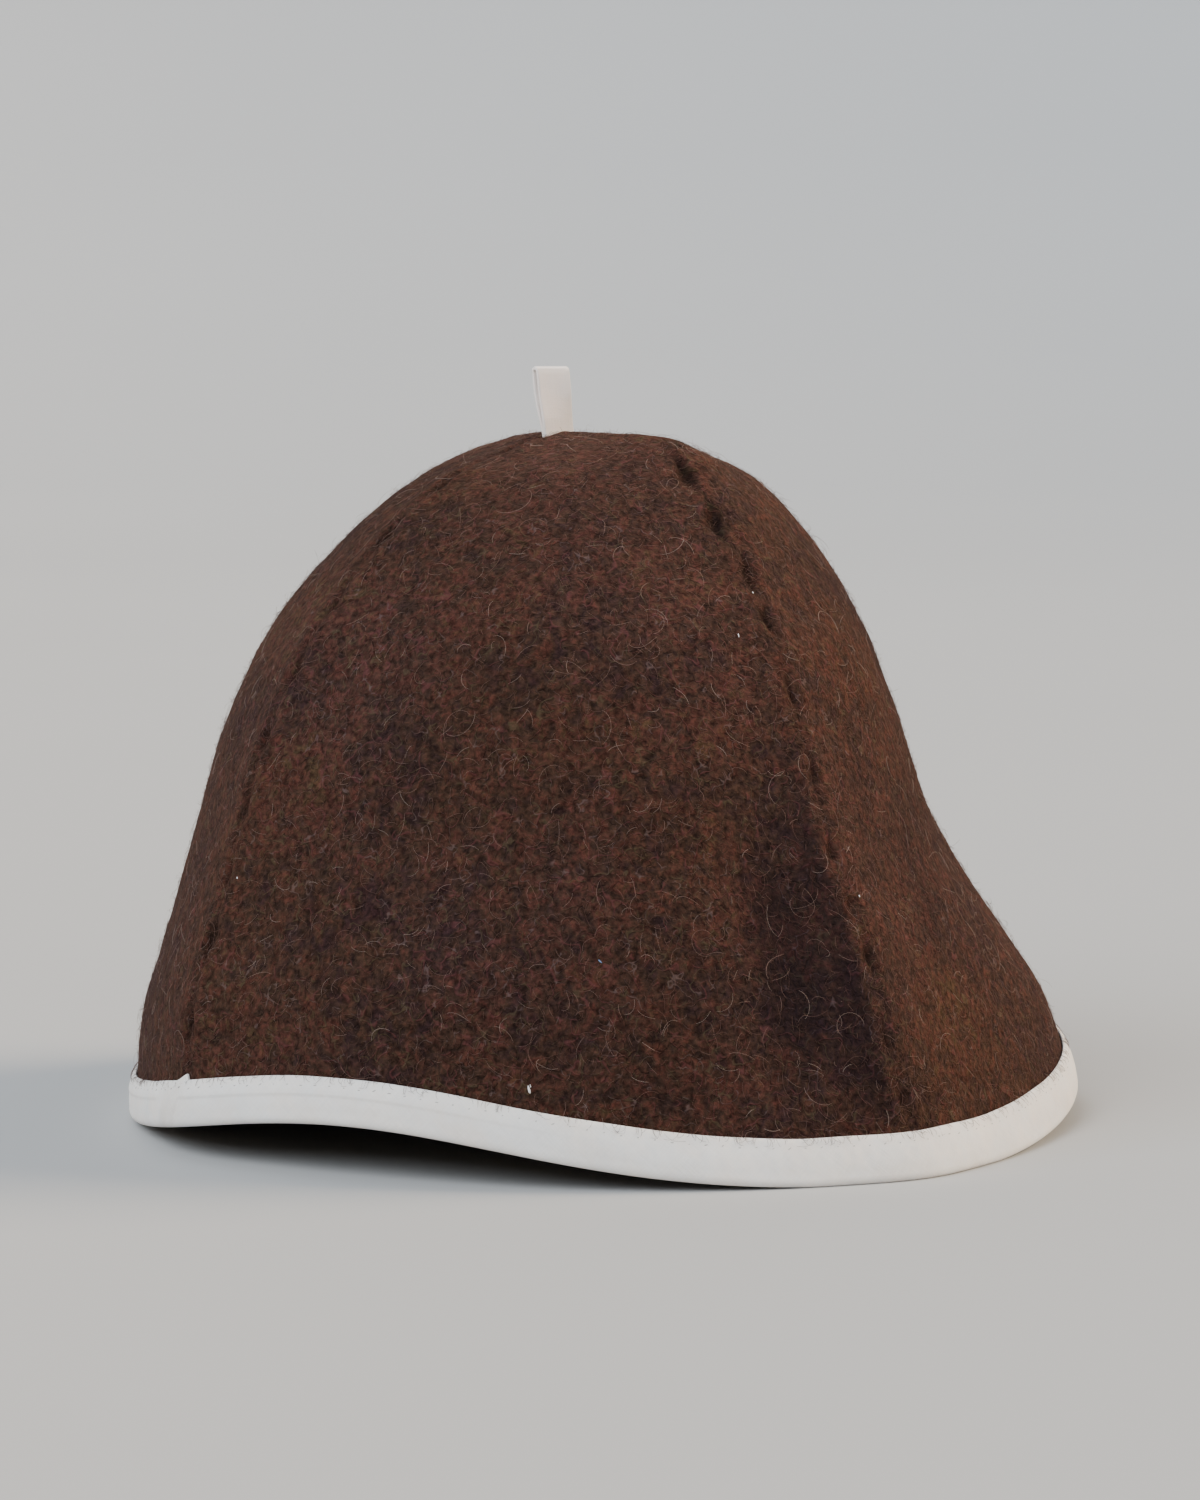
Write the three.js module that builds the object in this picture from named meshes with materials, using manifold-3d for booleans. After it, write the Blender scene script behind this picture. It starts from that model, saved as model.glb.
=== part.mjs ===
// A sauna hat: a bell of four felt gores, its rim bound with bias tape, a tape loop at the top.
// Millimetres, +Z up. The hat stands on its rim on z = 0, its forehead side towards -Y and the
// wearer's left towards +X. Angles run round the hat from the front seam towards the left.

import * as THREE from 'three';
import { mergeVertices } from 'three/addons/utils/BufferGeometryUtils.js';
import Module from 'manifold-3d';

// Felt
const FELT_THICKNESS = 2.8;
const SEAM_GAP = 0.4;        // between two gores
const SEAM_WELT = 0.5;       // the felt swells beside a seam ...
const WELT_REACH = 9;        // ... over this width
const SEAM_GROOVE = 1.1;     // and the stitches pull it in on the seam line

// Sections of the bell's outer face, from the felt's lower edge to the top of the crown.
// height: above the ground. back: how far the section's middle lies behind the rim's middle.
// depth, width: from that middle to the front or back seam, and to a side seam.
// square: 0 is an oval, 1 leaves each gore flat between its two seams.
const SECTIONS = [
  { height: 1.2, back: 0, depth: 130, width: 133, square: 0.15 },
  { height: 31, back: -7, depth: 121.5, width: 127.4, square: 0.19 },
  { height: 56, back: -9.5, depth: 111.8, width: 121.2, square: 0.21 },
  { height: 81, back: -12, depth: 102.2, width: 110.8, square: 0.22 },
  { height: 107, back: -12, depth: 93.2, width: 99.7, square: 0.19 },
  { height: 132, back: -9.6, depth: 81, width: 86.4, square: 0.15 },
  { height: 154, back: -7, depth: 63.9, width: 67.1, square: 0.12 },
  { height: 170, back: -4.6, depth: 44.8, width: 49, square: 0.11 },
  { height: 179, back: -5.4, depth: 19.5, width: 33, square: 0.1 },
  { height: 182, back: -12, depth: 1, width: 1, square: 0 },
];

// Soft dents and swells that the felt keeps. angle and height: its middle. depth: how far it goes
// in, or out where it is negative. across, along: its reach round the hat and up the wall.
const DENTS = [
  { angle: 80, height: 54, depth: 3, across: 14, along: 32 },
  { angle: 106, height: 62, depth: 1.6, across: 20, along: 24 },
  { angle: 38, height: 46, depth: -1.6, across: 38, along: 26 },
  { angle: 318, height: 60, depth: 2.2, across: 34, along: 28 },
  { angle: 205, height: 40, depth: 1.8, across: 26, along: 22 },
  { angle: 252, height: 78, depth: -1.4, across: 30, along: 30 },
  { angle: 142, height: 128, depth: 1.5, across: 24, along: 20 },
  { angle: 128, height: 80, depth: 1.6, across: 46, along: 46 },
  { angle: 88, height: 164, depth: -2.8, across: 26, along: 16 },
  { angle: 112, height: 146, depth: 1.3, across: 30, along: 20 },
  { angle: 140, height: 26, depth: -5.4, across: 40, along: 26 },
  { angle: 60, height: 24, depth: 1.6, across: 30, along: 20 },
];

// The soft rim stands on its two sides and rises in an arch at the front and another at the back.
// lift: the arch's height. across: its reach round the rim. The rest is flattened where it stands.
const ARCHES = [
  { angle: 22, lift: 14.4, across: 77 },
  { angle: 165, lift: 13.2, across: 87 },
];
const FLATTENED = 1;         // how much of the arches' feet is flattened
const ARCH_FADE = { from: 15, to: 100 };  // heights between which an arch dies out in the wall

const CORNER_SOFTNESS = 5.5; // degrees on each side of a seam over which the plan turns its corner
const LEVELS = 26;           // faceted rows from the rim to the top
const COLUMNS = 16;          // faceted columns in one gore, closest together at its seams

// Bias tape folded over the rim
const TAPE = 0.8;
const CLEARANCE = 0.3;       // between tape and felt
const BINDING_HEIGHT = 12;   // outside; the inside is INSIDE_SHORTER lower
const INSIDE_SHORTER = 1;
const FOLD_ROUNDNESS = 2.2;
const REST_WIDTH = 2.4;      // flat where the rim rests
const HEM = { from: 7.4, to: 11.4, rise: 0.4 };        // the tape's turned edge, on the outside
const LAP = { length: 16, thickness: 0.5, tip: 1.6 };  // the tape's lapped end, at the front

// Hanging loop: one strip folded in half, its two tails caught in the seam
const LOOP = { width: 9.5, ply: 1, height: 17.5, gap: 1.8, tail: 9, back: -14, lean: -0.15 };

const QUARTER = Math.PI / 2;
const { smoothstep, degToRad, euclideanModulo } = THREE.MathUtils;

// The table's columns as smooth curves of one parameter, 0 at the rim and 1 at the top.
const plan = new THREE.CatmullRomCurve3(
  SECTIONS.map((s) => new THREE.Vector3(s.depth, s.width, s.height)),
  false,
  'catmullrom',
);
const place = new THREE.CatmullRomCurve3(
  SECTIONS.map((s) => new THREE.Vector3(s.back, s.square, 0)),
  false,
  'catmullrom',
);

// How far the dents move the wall in, where the bell has a height and a radius.
function dented(angle, height, radius) {
  let depth = 0;
  for (const dent of DENTS) {
    const turn = euclideanModulo(angle - degToRad(dent.angle) + Math.PI, 2 * Math.PI) - Math.PI;
    const round = (turn * radius) / dent.across;
    const rise = (height - dent.height) / dent.along;
    depth += dent.depth * Math.exp(-(round ** 2) - rise ** 2);
  }
  return depth;
}

// How much further out a gore's flat plan lies at an angle than at its middle, with the corners
// at its seams rounded.
function flatReach(angle, square) {
  const soft = degToRad(CORNER_SOFTNESS);
  const fromMiddle = Math.abs(euclideanModulo(angle, QUARTER) - QUARTER / 2);
  const over = Math.max(0, fromMiddle - (QUARTER / 2 - soft));
  return 1 + square * (1 / Math.cos(fromMiddle - over ** 2 / (2 * soft)) - 1);
}

// How far the rim stands above the ground at an angle.
function rimLift(angle) {
  let lift = -FLATTENED;
  for (const arch of ARCHES) {
    const turn = euclideanModulo(angle - degToRad(arch.angle) + Math.PI, 2 * Math.PI) - Math.PI;
    lift += arch.lift * Math.exp(-(((turn * SECTIONS[0].width) / arch.across) ** 2));
  }
  return Math.max(0, lift);
}

// A point on the bell's outer face.
function bell(level, angle) {
  const { x: depth, y: width, z: height } = plan.getPoint(level);
  const { x: back, y: square } = place.getPoint(level);
  const plane = flatReach(angle, square) / flatReach(0, square);
  const reach = plane - dented(angle, height, width) / Math.max(width, 1);
  return new THREE.Vector3(
    width * reach * Math.sin(angle),
    back - depth * reach * Math.cos(angle),
    height + rimLift(angle) * (1 - smoothstep(height, ARCH_FADE.from, ARCH_FADE.to)),
  );
}

// The direction out of the felt: level at the rim, square to the face higher up. It is taken over
// a few degrees, so that the two gores that meet at a seam share one direction there.
function outward(level, angle) {
  const rise = 1e-3;
  const turn = degToRad(3);
  const up = bell(Math.min(level + rise, 1), angle).sub(bell(Math.max(level - rise, 0), angle));
  const round = bell(level, angle + turn).sub(bell(level, angle - turn));
  const normal = round.cross(up).normalize();
  normal.z *= smoothstep(plan.getPoint(level).z, BINDING_HEIGHT, 4 * BINDING_HEIGHT);
  return normal.normalize();
}

function wall(level, angle, out) {
  return bell(level, angle).addScaledVector(outward(level, angle), out);
}

// Angles of the faceted columns of the gore that starts at a seam, clear of its two seam lines.
function columnAngles(seam, clear) {
  return Array.from({ length: COLUMNS + 1 }, (_, i) => {
    const share = (1 - Math.cos((Math.PI * i) / COLUMNS)) / 2;
    return seam + clear + share * (QUARTER - 2 * clear);
  });
}

// How far a seam's welt and groove move the outer face, at a distance from the seam line.
function seamRelief(distance, height) {
  const welt = SEAM_WELT * Math.exp(-((distance / WELT_REACH) ** 2));
  const groove = SEAM_GROOVE * Math.exp(-((distance / (WELT_REACH / 5)) ** 2));
  return (welt - groove) * smoothstep(height, BINDING_HEIGHT, 2 * BINDING_HEIGHT);
}

// A closed body from rings of points, each ring joined to the next. A row of rings has its two
// ends closed across each ring, and a ring of rings closes on its first.
function loft(rings, closed) {
  const size = rings[0].length;
  const indices = [];
  const quad = (a, b, c, d) => indices.push(a, b, c, a, c, d);
  const last = closed ? rings.length : rings.length - 1;
  for (let r = 0; r < last; r += 1) {
    const here = r * size;
    const next = ((r + 1) % rings.length) * size;
    for (let i = 0; i < size; i += 1) {
      const j = (i + 1) % size;
      quad(here + i, here + j, next + j, next + i);
    }
  }
  if (!closed) {
    const top = (rings.length - 1) * size;
    for (let i = 0; i < size / 2 - 1; i += 1) {
      const mate = size - 1 - i;
      quad(mate, mate - 1, i + 1, i);
      quad(top + i, top + i + 1, top + mate - 1, top + mate);
    }
  }
  const geometry = new THREE.BufferGeometry();
  const points = rings.flat().flatMap((p) => [p.x, p.y, p.z]);
  geometry.setAttribute('position', new THREE.Float32BufferAttribute(points, 3));
  geometry.setIndex(indices);
  return geometry;
}

// One gore: at each level its outer points from seam to seam, then its inner points back.
function goreGeometry(seam) {
  const rings = [];
  for (let row = 0; row <= LEVELS; row += 1) {
    const level = row / LEVELS;
    const { x: radius, z: height } = plan.getPoint(level);
    const clear = Math.asin(Math.min(SEAM_GAP / 2 / radius, 0.5));
    const outer = [];
    const inner = [];
    for (const angle of columnAngles(seam, clear)) {
      const fromSeam = radius * Math.min(angle - seam, seam + QUARTER - angle);
      outer.push(wall(level, angle, seamRelief(fromSeam, height)));
      inner.unshift(wall(level, angle, -FELT_THICKNESS));
    }
    rings.push([...outer, ...inner]);
  }
  return loft(rings, false);
}

// The level at which the bell reaches a height.
function levelAt(height) {
  let low = 0;
  let high = 1;
  for (let i = 0; i < 24; i += 1) {
    const middle = (low + high) / 2;
    if (plan.getPoint(middle).z < height) low = middle;
    else high = middle;
  }
  return low;
}

// The binding's section where the tape's outer face is thickened by `lap` and its upper edge is
// raised by `tip`, as { height, out } pairs running outwards, up, over and round the felt's edge.
function bindingSection(lap, tip) {
  const outside = CLEARANCE + TAPE + lap;
  const inside = -(FELT_THICKNESS + CLEARANCE + TAPE);
  const feltEdge = SECTIONS[0].height - CLEARANCE;
  const insideHeight = BINDING_HEIGHT - INSIDE_SHORTER;
  const middle = -FELT_THICKNESS / 2;
  const corner = (side) => {
    const start = middle + Math.sign(side) * (REST_WIDTH / 2);
    return [0, 30, 60, 90].map((degrees) => {
      const turn = degToRad(degrees);
      return {
        height: FOLD_ROUNDNESS * (1 - Math.cos(turn)),
        out: start + (side - start) * Math.sin(turn),
      };
    });
  };
  return [
    ...corner(outside),
    { height: HEM.from, out: outside },
    { height: HEM.from + HEM.rise, out: outside + HEM.rise },
    { height: HEM.to, out: outside + HEM.rise },
    { height: BINDING_HEIGHT + tip, out: outside },
    { height: BINDING_HEIGHT + tip, out: CLEARANCE },
    { height: feltEdge, out: CLEARANCE },
    { height: feltEdge, out: -FELT_THICKNESS - CLEARANCE },
    { height: insideHeight, out: -FELT_THICKNESS - CLEARANCE },
    { height: insideHeight, out: inside },
    ...corner(inside).reverse(),
  ];
}

// The binding has the gores' own columns, so that the tape follows the felt. Its lapped end is
// cut aslant and stops at the front seam, with one corner standing up.
function bindingGeometry() {
  const angles = [0, 1, 2, 3].flatMap((k) => columnAngles(k * QUARTER, 0).slice(0, -1));
  const rings = angles.map((angle) => {
    const beforeSeam = (angle === 0 ? 0 : 2 * Math.PI - angle) * SECTIONS[0].depth;
    const lapped = angle !== 0 && beforeSeam < LAP.length;
    const section = bindingSection(lapped ? LAP.thickness : 0, angle === 0 ? LAP.tip : 0);
    return section.map(({ height, out }) => {
      const point = wall(levelAt(height), angle, out);
      point.z = height + rimLift(angle);
      return point;
    });
  });
  return loft(rings.reverse(), true);
}

const TOP = SECTIONS.at(-1);

// The loop stands in the plane of the front to back seam and leans forward a little.
function lean(geometry) {
  const position = geometry.getAttribute('position');
  for (let i = 0; i < position.count; i += 1) {
    position.setY(i, position.getY(i) + LOOP.back + LOOP.lean * (position.getZ(i) - TOP.height));
  }
  return geometry;
}

// Half of the tape's middle line, from one tail to the bend: across the seam, above the crown.
const PINCH = LOOP.ply / 2 + 0.1;
const BULGE = (LOOP.gap + LOOP.ply) / 2;
const BEND = LOOP.height - LOOP.ply / 2;
const LOOP_STEPS = 48;
const LOOP_HALF = [
  { across: PINCH, height: -LOOP.tail },
  { across: PINCH, height: 0 },
  { across: 0.8 * BULGE, height: 0.25 * LOOP.height },
  { across: BULGE, height: 0.55 * LOOP.height },
  { across: BULGE, height: BEND - BULGE },
  { across: 0.7 * BULGE, height: BEND - 0.3 * BULGE },
  { across: 0, height: BEND },
];

function loopGeometry() {
  const right = LOOP_HALF.map((p) => new THREE.Vector2(p.across, TOP.height + p.height));
  const left = right.slice(0, -1).reverse().map((p) => new THREE.Vector2(-p.x, p.y));
  const middle = new THREE.SplineCurve([...right, ...left]);
  const outer = [];
  const inner = [];
  for (let i = 0; i <= LOOP_STEPS; i += 1) {
    const point = middle.getPointAt(i / LOOP_STEPS);
    const tangent = middle.getTangentAt(i / LOOP_STEPS);
    const across = new THREE.Vector2(tangent.y, -tangent.x).multiplyScalar(LOOP.ply / 2);
    outer.push(point.clone().add(across));
    inner.unshift(point.clone().sub(across));
  }
  const tape = new THREE.ExtrudeGeometry(new THREE.Shape([...outer, ...inner]), {
    depth: LOOP.width,
    bevelEnabled: false,
    steps: 1,
  });
  tape.rotateX(Math.PI / 2).translate(0, LOOP.width / 2, 0);
  return lean(tape);
}

// The slit in the seam that takes the loop's two tails.
function slitGeometry() {
  const across = 2 * (PINCH + LOOP.ply / 2 + CLEARANCE);
  const slit = new THREE.BoxGeometry(across, LOOP.width + 2 * CLEARANCE, 3 * LOOP.tail);
  return lean(slit.translate(0, 0, TOP.height));
}

const wasm = await Module();
wasm.setup();

function toSolid(geometry) {
  const bare = geometry.clone();
  bare.deleteAttribute('normal');
  bare.deleteAttribute('uv');
  const merged = mergeVertices(bare, 1e-4);
  return new wasm.Manifold(new wasm.Mesh({
    numProp: 3,
    vertProperties: new Float32Array(merged.getAttribute('position').array),
    triVerts: new Uint32Array(merged.index.array),
  }));
}

function toGeometry(solid) {
  const { vertProperties, triVerts } = solid.getMesh();
  const geometry = new THREE.BufferGeometry();
  geometry.setAttribute('position', new THREE.BufferAttribute(vertProperties, 3));
  geometry.setIndex(new THREE.BufferAttribute(triVerts, 1));
  return geometry;
}

const felt = new THREE.MeshStandardMaterial({ color: 0x3d2820, roughness: 0.95, metalness: 0 });
const biasTape = new THREE.MeshStandardMaterial({ color: 0xd8d2c8, roughness: 0.75, metalness: 0 });
const loopTape = new THREE.MeshStandardMaterial({ color: 0xe6d8cd, roughness: 0.6, metalness: 0 });

const hat = new THREE.Group();
hat.name = 'sauna_hat';

function add(name, geometry, material) {
  const mesh = new THREE.Mesh(geometry, material);
  mesh.name = name;
  hat.add(mesh);
}

const slit = toSolid(slitGeometry());
const gores = ['gore_front_left', 'gore_back_left', 'gore_back_right', 'gore_front_right'];
for (const [k, name] of gores.entries()) {
  const whole = toSolid(goreGeometry(k * QUARTER));
  add(name, toGeometry(whole.subtract(slit)), felt);
}
add('rim_binding', bindingGeometry(), biasTape);
add('hanging_loop', loopGeometry(), loopTape);

export default hat;
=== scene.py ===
# A sauna hat of four felt gores, its rim bound with bias tape, with a tape loop at the crown.
# Metres, +Z up. The hat stands on its rim on z = 0, forehead towards -Y, wearer's left at +X.
# Angles run round the hat from the front seam towards the wearer's left.

import math

import bpy
import numpy as np
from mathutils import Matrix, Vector, noise


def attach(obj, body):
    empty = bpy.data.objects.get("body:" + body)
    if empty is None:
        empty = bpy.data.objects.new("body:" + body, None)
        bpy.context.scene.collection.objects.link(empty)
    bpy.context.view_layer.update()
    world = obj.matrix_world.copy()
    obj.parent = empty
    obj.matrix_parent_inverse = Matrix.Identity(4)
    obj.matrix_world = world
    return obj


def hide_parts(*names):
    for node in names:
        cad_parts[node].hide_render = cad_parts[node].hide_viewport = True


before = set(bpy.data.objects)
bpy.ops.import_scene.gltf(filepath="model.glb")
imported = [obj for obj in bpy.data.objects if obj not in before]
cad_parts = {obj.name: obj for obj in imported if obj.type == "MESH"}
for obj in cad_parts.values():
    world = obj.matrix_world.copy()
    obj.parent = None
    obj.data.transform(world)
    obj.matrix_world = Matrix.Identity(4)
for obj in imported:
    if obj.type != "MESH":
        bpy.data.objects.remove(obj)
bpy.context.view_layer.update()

MM = 0.001
QUARTER = math.pi / 2

# Felt
FELT_THICKNESS = 2.8 * MM
FELT_EDGE = 1.2 * MM       # the height of the felt's lower edge, inside the tape
SEAM_GAP = 0.03 * MM
SEAM_WELT = 0.45 * MM
WELT_REACH = 9 * MM
SEAM_RIDGE = 0.34 * MM     # a narrower roll on each side of the seam ...
RIDGE_REACH = 2.2 * MM     # ... this wide
SEAM_CREASE = 0.10 * MM    # the shallow line along a seam, between its pulled-in places, with a faint painted shade in it
VALLEY_SHADE_FROM_SEAM = 7 * MM  # the painted shade of the valley in front of each side seam ...
VALLEY_SHADE_REACH = 7 * MM      # ... and how wide it is
GORES = ("gore_front_left", "gore_back_left", "gore_back_right", "gore_front_right")
UNEVEN_OUTSIDE = 5.0       # which draw of the unevenness each face of the felt has
UNEVEN_INSIDE = 31.0
GORE_COLUMNS = 112
GORE_ROWS = 144
SEAM_CROWDING = 0.68       # how much closer the columns stand at the seams
LUMPS = (                  # the felt's uneven face: (size of a lump, height of it)
    (26 * MM, 0.45 * MM),
    (11 * MM, 0.28 * MM),
    (5.2 * MM, 0.20 * MM),
)

# Tape over the rim
TAPE = 0.8 * MM            # its thickness
CLEARANCE = 0.3 * MM       # between the tape and the felt
BINDING_HEIGHT = 12 * MM
INSIDE_SHORTER = 1 * MM
REST_WIDTH = 2.4 * MM      # of the flat underneath, where the hat rests
FOLD_ROUNDNESS = 2.2 * MM
TAPE_FACE = MM * np.array([  # the tape's rounded outer face: height, how far out
    (3.1, 1.60), (4.0, 1.75), (5.0, 1.85), (6.0, 1.89), (6.8, 1.88), (7.3, 1.86), (7.7, 1.83),
    (8.1, 1.80), (8.6, 1.76), (9.2, 1.70), (9.9, 1.61), (10.6, 1.50), (11.1, 1.39), (11.5, 1.26),
    (11.8, 1.04), (11.95, 0.84),
])
LAP_LENGTH = 16 * MM
LAP_THICKNESS = 0.36 * MM
LAP_SLANT = 7.5 * MM       # how far aslant the lapped end is cut
LAP_TIP = 1.6 * MM         # how high its tip sticks up ...
TIP_REACH = 6 * MM         # ... and how far along it does
RIM_COLUMNS = 840
HEM = 0.30 * MM            # the turned edge, which shows through the tape as a low step
HEM_FADES = (55 * MM, 130 * MM)       # how far from the lapped end it stops showing

# Sections of the bell's outer face, from the felt's lower edge to the top of the crown, in mm.
# height, back (of the rim's middle), depth (to the front or back), width (to a side), square
BELL = np.array([
    (1.2, 0, 130, 133, 0.15),
    (31, -7, 121.5, 127.4, 0.19),
    (56, -9.5, 111.8, 121.2, 0.21),
    (81, -12, 102.2, 110.8, 0.22),
    (107, -12, 93.2, 99.7, 0.19),
    (132, -9.6, 81, 86.4, 0.15),
    (154, -7, 63.9, 67.1, 0.12),
    (170, -4.6, 44.8, 49, 0.11),
    (179, -5.4, 19.5, 33, 0.10),
    (182, -12, 1, 1, 0),
]) * (MM, MM, MM, MM, 1)

# Dents and swells: angle in degrees, height, depth inwards, reach round and up, in mm
DENTS = (
    (80, 54, 3, 14, 32),
    (106, 62, 1.6, 20, 24),
    (38, 46, -1.6, 38, 26),
    (318, 60, 2.2, 34, 28),
    (205, 40, 1.8, 26, 22),
    (252, 78, -1.4, 30, 30),
    (142, 128, 1.5, 24, 20),
    (128, 80, 1.6, 46, 46),
    (88, 164, -2.8, 26, 16),
    (112, 146, 1.3, 30, 20),
    (140, 26, -5.4, 40, 26),
    (60, 24, 1.6, 30, 20),
    (92, 60, -0.9, 9, 42),
)

# The rim stands on its two sides and rises in soft arches: angle in degrees, lift and reach in mm
ARCHES = ((22, 14.4, 77), (165, 13.2, 87))
FLATTENED = 1 * MM         # how much of the arches' feet is flattened
ARCH_FADE = (15 * MM, 100 * MM)       # heights between which an arch dies out in the wall

CORNER_SOFTNESS = math.radians(5.5)   # on each side of a seam, where the plan turns its corner
CROWN_HEIGHT = BELL[-1, 0]


# ---------------------------------------------------------------- camera, floor and lights

def deselect():
    bpy.ops.object.select_all(action="DESELECT")


CAMERA_AZIMUTH = 53
CAMERA_ELEVATION = 5
CAMERA_ROLL = 0
CAMERA_DISTANCE = 1.25
CAMERA_LENS = 112
AIM = (0, 0, 0.097)


def towards(azimuth, elevation, distance, aim=(0, 0, 0)):
    """The point at a distance from aim, by angle round the hat and above the ground."""
    a, e = math.radians(azimuth), math.radians(elevation)
    return Vector(aim) + distance * Vector(
        (math.sin(a) * math.cos(e), -math.cos(a) * math.cos(e), math.sin(e))
    )


def look(obj, aim, roll=0):
    turn = (Vector(aim) - obj.location).to_track_quat("-Z", "Y")
    obj.rotation_mode = "QUATERNION"
    obj.rotation_quaternion = turn
    obj.rotation_mode = "XYZ"
    obj.rotation_euler.rotate_axis("Z", math.radians(roll))


def make_camera():
    bpy.ops.object.camera_add(location=towards(CAMERA_AZIMUTH, CAMERA_ELEVATION, CAMERA_DISTANCE, AIM))
    camera = bpy.context.object
    camera.name = "camera"
    camera.data.lens = CAMERA_LENS
    camera.data.sensor_width = 36
    look(camera, AIM, CAMERA_ROLL)
    bpy.context.scene.camera = camera


def soft_light(name, azimuth, elevation, spread, power, colour):
    """A wide soft source far away, so that the floor is evenly lit."""
    bpy.ops.object.light_add(type="SUN", location=towards(azimuth, elevation, 3))
    light = bpy.context.object
    light.name = name
    light.data.angle = math.radians(spread)
    light.data.energy = power
    light.data.color = colour
    look(light, (0, 0, 0.09))


# The floor's edge curves up all round: radius and height of each ring, in metres
FLOOR_RINGS = ((3.2, 0), (3.9, 0.05), (4.5, 0.20), (5.0, 0.45), (5.4, 0.85), (5.6, 1.35), (5.7, 1.9))


# Soft lights: name, angle round and up, spread in degrees, power, colour
LIGHTS = (
    ("window_light", 14, 40, 50, 4.05, (0.88, 0.94, 1.0)),
    ("warm_light", 150, 27, 34, 6.6, (1.0, 0.785, 0.55)),
    ("top_light", 250, 70, 80, 0.25, (1.0, 0.99, 0.97)),
)


def make_studio():
    for row in LIGHTS:
        soft_light(*row)
    world = bpy.data.worlds.new("pale_room")
    world.use_nodes = True
    sky = world.node_tree.nodes["Background"].inputs
    sky["Color"].default_value = (0.78, 0.83, 0.90, 1)
    sky["Strength"].default_value = 0.62
    bpy.context.scene.world = world
    deselect()
    bpy.ops.mesh.primitive_circle_add(vertices=128, radius=FLOOR_RINGS[0][0], fill_type="NGON")
    floor = bpy.context.object
    floor.name = "floor"
    bpy.ops.object.mode_set(mode="EDIT")
    bpy.ops.mesh.select_mode(type="EDGE")
    bpy.ops.mesh.select_all(action="SELECT")
    for (radius, height), (wider, higher) in zip(FLOOR_RINGS, FLOOR_RINGS[1:]):
        bpy.ops.mesh.extrude_edges_move(TRANSFORM_OT_translate={"value": (0, 0, higher - height)})
        grow = wider / radius
        bpy.ops.transform.resize(value=(grow, grow, 1))
    bpy.ops.object.mode_set(mode="OBJECT")
    floor.data.materials.append(floor_finish())
    bpy.ops.object.shade_smooth()


# ---------------------------------------------------------------- materials


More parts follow.
